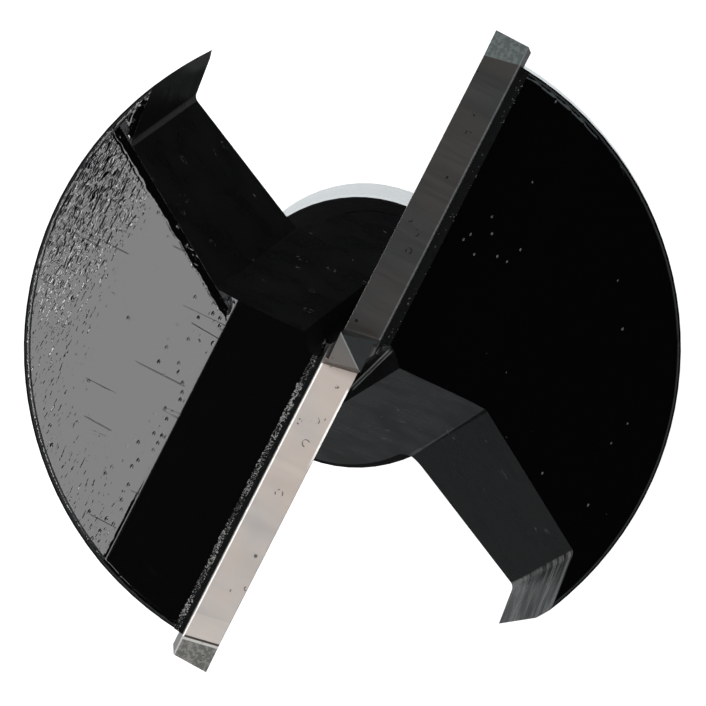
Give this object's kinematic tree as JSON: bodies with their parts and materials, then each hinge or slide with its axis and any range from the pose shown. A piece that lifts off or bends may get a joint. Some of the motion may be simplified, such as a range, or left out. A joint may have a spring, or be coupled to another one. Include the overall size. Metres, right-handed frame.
{
  "type": "forstner bit",
  "caption": "Forstner bit for hinge cups: steel head with wing bodies, brazed carbide cutters with spurs and centre point, tapered neck and plain round shank.",
  "frame": {"origin": "centre of the shank's end face", "axes": "+Z along the axis from the shank's end to the centre point, +X along one cutter, whose rake face looks towards +Y"},
  "size_m": [0.025, 0.0234, 0.0583],
  "materials": {
    "black_steel": "gloss black paint on head and neck, bare brushed shank",
    "carbide": "ground",
    "braze": "rough silver braze"
  },
  "bodies": {
    "root": {"bit_body": "black_steel", "carbide_cutter_a": "carbide", "carbide_cutter_b": "carbide", "braze_seam_a": "braze", "braze_seam_b": "braze"}
  },
  "joints": []
}
